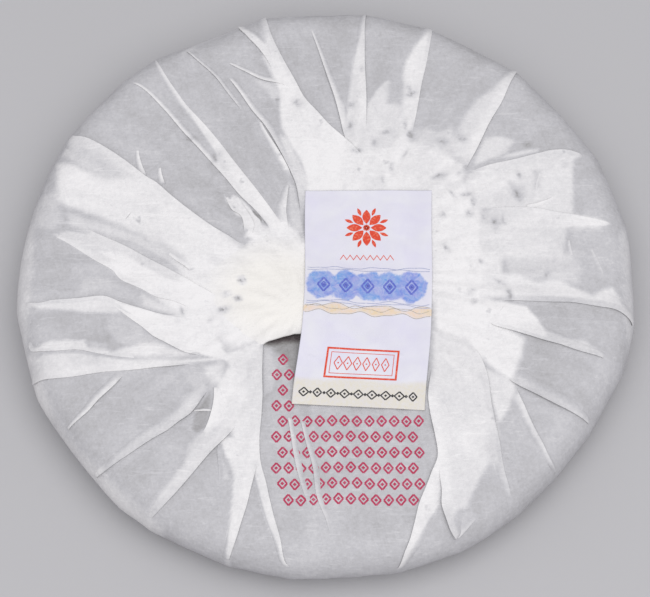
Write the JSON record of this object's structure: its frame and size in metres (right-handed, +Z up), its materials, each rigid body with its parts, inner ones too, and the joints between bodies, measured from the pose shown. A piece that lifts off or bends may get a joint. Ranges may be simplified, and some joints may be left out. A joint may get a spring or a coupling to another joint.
{
  "type": "wrapped tea cake",
  "caption": "Round pressed tea cake shut in a pleated tissue wrapper, with a thin paper slip over the gathered middle; food prop.",
  "frame": {"origin": "middle of the bounding box on the surface the cake lies on", "axes": "+Z up out of the pleated face, which is the shortest way through; +Y towards the slip's upper end, +X to its right as seen from above"},
  "size_m": [0.2, 0.2, 0.0251],
  "materials": {
    "tissue_paper": "matt, thin and slightly see-through",
    "slip_paper": "matt, plain with printed fields"
  },
  "bodies": {
    "root": {"wrapped_cake": "tissue_paper", "paper_slip": "slip_paper"}
  },
  "joints": []
}
